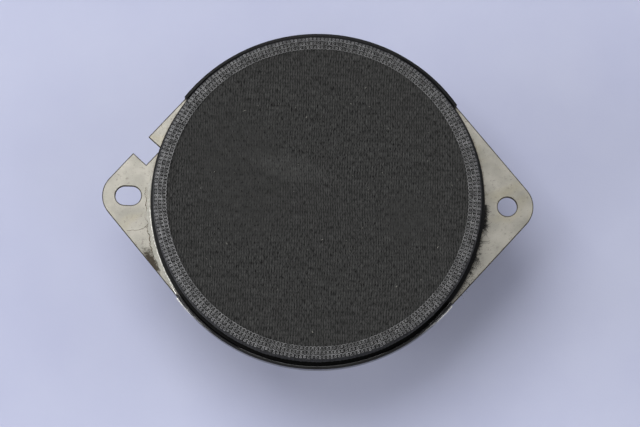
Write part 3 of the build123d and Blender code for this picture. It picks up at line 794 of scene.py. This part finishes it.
def tinsel_leads():
    """Braided lead on each side, from its joint under the cone, through the window, to its tab."""
    for side, node in ((1, "tinsel_lead_positive"), (-1, "tinsel_lead_negative")):
        route = [(side * 4.4, -16.4, 24.2), (side * 4.4, -16.4, 22.6), (side * 5.0, -19.4, 22.4),
                 (side * 6.2, -23.9, 22.5), (side * 7.4, -28.2, 23.6), (side * 8.0, -31.2, 23.5),
                 (side * 8.0, -31.3, 20.45)]
        piece = braid(f"{node}_braid", smooth_line(route), 4, 0.19, 0.15, 2.2)
        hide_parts(node)
        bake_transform(piece)


def domes(name, spots, mat, body):
    """Rounded blobs (x, y, base z, radius, height): height falls as 1 - rho^2 with a soft foot."""
    rings, sides = 9, 24
    rho = np.linspace(0.04, 1, rings)[:, None]
    a = around(sides)
    points, faces = [], []
    for i, (x, y, base, radius, height) in enumerate(spots):
        out = radius * rho * (1 + 0.06 * np.sin(2 * a + i) + 0.04 * np.sin(3 * a + 2 * i))
        z = base + height * (1 - rho**2) ** 0.7 * np.ones_like(a)
        ring = np.stack([x + out * np.cos(a), y + out * np.sin(a), z], -1).reshape(-1, 3)
        points.append(np.concatenate([ring, [[x, y, base + height], [x, y, base]]]))
        first = i * (rings * sides + 2)
        tip = first + rings * sides
        faces += (grid_faces(rings, sides, close_columns=True) + first).tolist()
        faces += fan(tip, first, sides).tolist()
        faces += fan(tip + 1, tip - sides, sides)[:, [0, 2, 1]].tolist()
    new_piece(name, np.concatenate(points), faces, mat, body)


def capacitor_ends():
    """Rubber bung in one end of the capacitor's can and bare aluminium in the other: rounded discs
    turned about the can's axis, which runs along X."""
    low, high = (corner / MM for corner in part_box("blocking_capacitor"))
    y, z, radius = (low.y + high.y) / 2, (low.z + high.z) / 2, (high.z - low.z) / 2
    bare = plain("aluminium, bare", ("9da0a3", "b9bbbd"), 1.0, (0.25, 0.4), 0.3, 0.02, Metallic=1.0)
    rubber = plain("rubber bung, black", ("0d0d0d", "1a1a19"), 1.0, (0.5, 0.7), 0.3, 0.03)
    sides, bulge = 48, 0.12
    a = around(sides)
    t = np.array([0.0, 0.35, 0.7, 1.0])[:, None] * pi / 2
    faces = grid_faces(len(t), sides, close_columns=True)[:, ::-1].tolist()
    faces += fan(len(t) * sides, (len(t) - 1) * sides, sides).tolist()
    for name, x, way, share, mat, slot in (
            ("capacitor_bung", high.x, 1, 0.72, rubber, "surround_rubber"),
            ("capacitor_can_end", low.x, -1, 0.78, bare, "tinned_brass")):
        r = radius * share - bulge * (1 - np.cos(t))
        ring = np.stack(np.broadcast_arrays(x + way * bulge * np.sin(t), y + r * np.cos(a),
                                            z + way * r * np.sin(a)), -1).reshape(-1, 3)
        points = np.concatenate([ring, [[x + way * bulge, y, z]]])
        new_piece(name, points, faces, mat, "frame")


def make_suspension():
    """Surround, spider, gasket, leads, solder and every line of glue."""
    surround()
    spider()
    foam_gasket()
    tinsel_leads()
    foot_top = top_of("solder_lug")
    domes("terminal_solder", [(8, -31.3, foot_top, 1.15, 0.9), (-8, -31.3, foot_top, 1.15, 0.9),
                              (8, -32.3, foot_top, 0.75, 0.75), (8, -34.7, foot_top, 0.85, 0.8)],
          MATERIALS["solder"], "frame")
    dark_glue = plain("contact glue, dried black", ("0b0b0c", "1c1b1a"), 2.0, (0.15, 0.35), 0.4, 0.03)
    amber_glue = plain("polyurethane glue, amber", ("6e4a16", "8f6524"), 2.0, (0.15, 0.3), 0.4, 0.03,
                       **{"Coat Weight": 0.5})
    # name, radius, height, thickness and its unevenness
    bead("cap_glue", 13.15, 24.1, 0.28, 0.5, dark_glue, "cone", "cap_paper", 21, radians(25))
    bead("surround_glue", 30.25, FLANGE_TOP + 0.42, 0.25, 0.5, dark_glue, "cone", "surround_rubber", 22)
    bead("neck_glue", 10.1, 21.6, 0.3, 0.5, amber_glue, "cone", "spider_cloth", 23)
    bead("spider_glue", 26.4, LEDGE_TOP_Z + 0.35, 0.3, 0.6, amber_glue, "frame", "spider_cloth", 24)
    bead("magnet_glue_back", 29.0, bottom_of("magnet"), 0.3, 0.7, dark_glue, "frame", "ferrite", 25)
    bead("magnet_glue_front", 28.0, top_of("magnet"), 0.3, 0.7, dark_glue, "frame", "ferrite", 26)


# ---------------------------------------------------------------- traces of use

def fibres(rng, at, start_r, reach, rise, mat, name):
    """Short hairs lying on the ears: each starts at an angle and a radius, leans outwards and along the
    ring, curls, and rises a little in its middle. Lengths in millimetres, one row per hair."""
    count = len(at)
    lean = rng.normal(0, 0.6, count)
    curl = rng.normal(0, 0.6, count)
    t = np.linspace(0, 1, 7)
    out = start_r[:, None] + (reach * np.cos(lean))[:, None] * t
    along = (reach * np.sin(lean))[:, None] * t + (curl * reach)[:, None] * t**2 * 0.5
    angle = at[:, None] + along / FRAME_FLANGE_R
    z = FLANGE_TOP + 0.07 + rise[:, None] * np.sin(pi * np.minimum(t * 1.15, 1))
    thick = rng.uniform(0.035, 0.075, count)[:, None] * (1.15 - 0.8 * t)
    tube_piece(name, polar(out, angle, z), thick, 4, mat, "frame")


def frayed_fibres():
    """Black hairs of the cloth's hem along the grille's foot on the ear with the round hole, in tufts,
    and loose bits of them on the plate."""
    rng = np.random.default_rng(31)
    mat = plain("polyester fibre, frayed", ("0c0c0c", "262523"), 0.8, (0.7, 0.9), 0.1, 0.02)
    tufts = np.array([-1.5, -3.0, -4.5, -6.0, -7.5, -13.5, -19.0, -22.0])
    share = np.array([9, 9, 9, 9, 9, 3, 3, 3]) / 54
    count, loose = 420, 90
    at = radians(1) * (rng.choice(tufts, count, p=share) + rng.normal(0, 0.9, count))
    reach = rng.gamma(2.2, 0.4, count).clip(0.25, 2.7)
    fibres(rng, at, np.full(count, FRAME_FLANGE_R - 0.3), reach, rng.uniform(0.05, 0.5, count), mat,
           "frayed_fibres")
    at = radians(1) * rng.uniform(-33, -15, loose)
    start = FRAME_FLANGE_R + rng.gamma(1.5, 0.4, loose).clip(0.05, 2.2)
    fibres(rng, at, start, rng.uniform(0.1, 0.6, loose), rng.uniform(0, 0.05, loose), mat, "loose_fibres")


def ear_lines():
    """Cracks and dirt on the slotted ear, as flattened lines lying on the plate: the ragged edge of the
    glue, and a crack that branches off to the plate's rim."""
    rng = np.random.default_rng(43)
    dirt = plain("dirt in a crack, brown", ("2e2414", "5a4a33"), 0.7, (0.8, 0.95), 0.1, 0.02)
    count = 200
    a = np.linspace(radians(177), radians(199), count)
    edge = polar(FRAME_FLANGE_R + 1.35 + 0.55 * wander_line(rng, count, 0.8), a, FLANGE_TOP)
    route = np.array([(-45.2, -7.6, FLANGE_TOP), (-46.4, -8.8, FLANGE_TOP), (-48.1, -9.4, FLANGE_TOP),
                      (-50.8, -9.5, FLANGE_TOP)])
    t = np.linspace(0, 1, count)
    branch = np.stack([np.interp(t * 3, np.arange(4), axis) for axis in route.T], -1)
    branch[:, :2] += 0.1 * np.stack([wander_line(rng, count, 0.7), wander_line(rng, count, 0.7)], -1)
    thick = np.array([0.07 + 0.07 * wander_line(rng, count, 0.3),
                      0.05 + 0.035 * wander_line(rng, count, 0.3)])
    tube_piece("ear_cracks", np.array([edge, branch]), thick.clip(0.01), 6, dirt, "frame")


def glue_film():
    """Thin dried glue that ran out from under the grille onto the slotted ear. A strip in polar form:
    its inner side is under the frame's edge and its outer side wanders; it thins to nothing there. A
    line of it stands against the frame's foot, coloured whiter than the film as a painted highlight."""
    rng = np.random.default_rng(41)
    count, across = 260, 8
    a = np.linspace(radians(169), radians(215), count)
    ends = smooth(np.minimum(a - a[0], a[-1] - a) / 0.12)
    width = (0.95 + 0.55 * wander_line(rng, count)) * ends + 0.1
    t = np.linspace(0, 1, across)
    r = FRAME_FLANGE_R - 0.1 + width[:, None] * t
    z = FLANGE_TOP + 0.02 + 0.07 * (1 - t**2) * (0.7 + 0.3 * wander_line(rng, count))[:, None]
    mat = plain("polyurethane glue, dried clear", ("b5b3a8", "dad8ce"), 1.2, (0.2, 0.5), 0.3, 0.04, Alpha=0.5)
    new_piece("glue_film", polar(r, a[:, None], z).reshape(-1, 3), grid_faces(count, across)[:, ::-1], mat,
              "frame")
    # painted highlight: the glue line along the foot is coloured near white for the shine on its edge
    white = plain("polyurethane glue, white with painted highlight", ("c9c7bd", "ecebe4"), 0.8, (0.15, 0.3), 0.3, 0.04)
    count = 300
    a = np.linspace(radians(184), radians(214), count)
    r = FRAME_FLANGE_R + 0.12 + 0.1 * wander_line(rng, count, 0.5)
    thick = (0.17 + 0.16 * wander_line(rng, count, 0.25)).clip(0.012)
    tube_piece("glue_line", polar(r, a, FLANGE_TOP + 0.05)[None], thick[None], 8, white, "frame")


def edge_burrs():
    """Bright burrs where the plate's cut edge shows past the curb's ends: tubes along the ring that
    taper to nothing, their radius falling as (1 - t)^1.3, and one on the plate beside its end."""
    bright = plain("steel burr, polished by wear", ("d6d4ce", "f0eee8"), 0.8, (0.3, 0.45), 0.2, 0.02,
                   Metallic=1.0)
    t = np.linspace(0, 1, 30)
    paths, thick = [], []
    for start, end, size, r in ((-36.6, -46.5, 0.34, 45.75), (-143.4, -133.5, 0.34, 45.75),
                                (36.4, 39.5, 0.12, 45.8), (-144.2, -149.0, 0.24, 45.35)):
        a = np.radians(start + (end - start) * t)
        paths.append(polar(r, a, FLANGE_TOP + 1.55 * (r - 45.2)))
        thick.append(size * (1 - t) ** 1.3 * smooth(t / 0.05) + 0.01)
    tube_piece("edge_burrs", np.array(paths), np.array(thick), 8, bright, "frame")


# ---------------------------------------------------------------- bodies kept from the frame

# Slot, width of the rounded edges, and body.
ROUNDED = {
    "basket": ("zinc_plate", 0.22, "frame"),
    "grille_frame": ("black_plastic", 0.12, "frame"),
    "t_yoke": ("pole_steel", 0.15, "frame"),
    "magnet": ("ferrite", 0.1, "frame"),
    "top_plate": ("pole_steel", 0.12, "frame"),
    "basket_rivets": ("rivet_steel", 0.2, "frame"),
    "terminal_board": ("fibre_board", 0.06, "frame"),
    "terminal_tab_positive": ("tinned_brass", 0.1, "frame"),
    "terminal_tab_negative": ("tinned_brass", 0.1, "frame"),
    "solder_lug": ("tinned_brass", 0.08, "frame"),
    "terminal_rivets": ("rivet_steel", 0.15, "frame"),
    "blocking_capacitor": ("capacitor_sleeve", 0.08, "frame"),
    "cone": ("cone_paper", 0.0, "cone"),
    "dust_cap": ("cap_paper", 0.0, "cone"),
}

# Where a body has a second finish, and whether its rim takes it too: the plate's cut edges are bare,
# browned and rough, so they draw a dark line round the plate; the grille's curb is polished in front,
# where the foot beside it is matt.
NO_SECOND = (None, None, False)
SECOND = {
    "basket": (plain("steel, sheared and browned", ("2c2820", "4a4437"), 1.2, (0.5, 0.8), 0.2, 0.05,
                     Metallic=0.6),
               lambda p, n: hypot(p.x, p.y) > RING_INNER_R and abs(n.z) < 0.3, True),
    "grille_frame": (plain("ABS, polished black", ("09090a", "121213"), 12.0, (0.12, 0.22), 0.5, 0.01,
                           **{"Specular IOR Level": 0.9}),
                     lambda p, n: hypot(p.x, p.y) > CURB_INNER_R and p.y < CURB_FRONT_Y, False),
}
REPLACED = ("grille_cloth", "surround", "spider", "front_gasket", "tinsel_lead_positive",
            "tinsel_lead_negative")
SLOTS = {part["node"]: part["material_slot"] for part in frame["record"]["subparts"]}


def make_bodies():
    """Round the edges of the bodies that show, and give every other CAD node its own finish."""
    for node, (slot, width, body) in ROUNDED.items():
        rounded_copy(node, MATERIALS[slot], width, body, SECOND.get(node, NO_SECOND))
    for node, piece in frame["nodes"].items():
        if node in ROUNDED or node in REPLACED:
            continue
        piece.data.materials.clear()
        piece.data.materials.append(MATERIALS[SLOTS[node]])


make_camera()
make_stage()
make_bodies()
make_cloth()
make_suspension()
capacitor_ends()
frayed_fibres()
ear_lines()
glue_film()
edge_burrs()
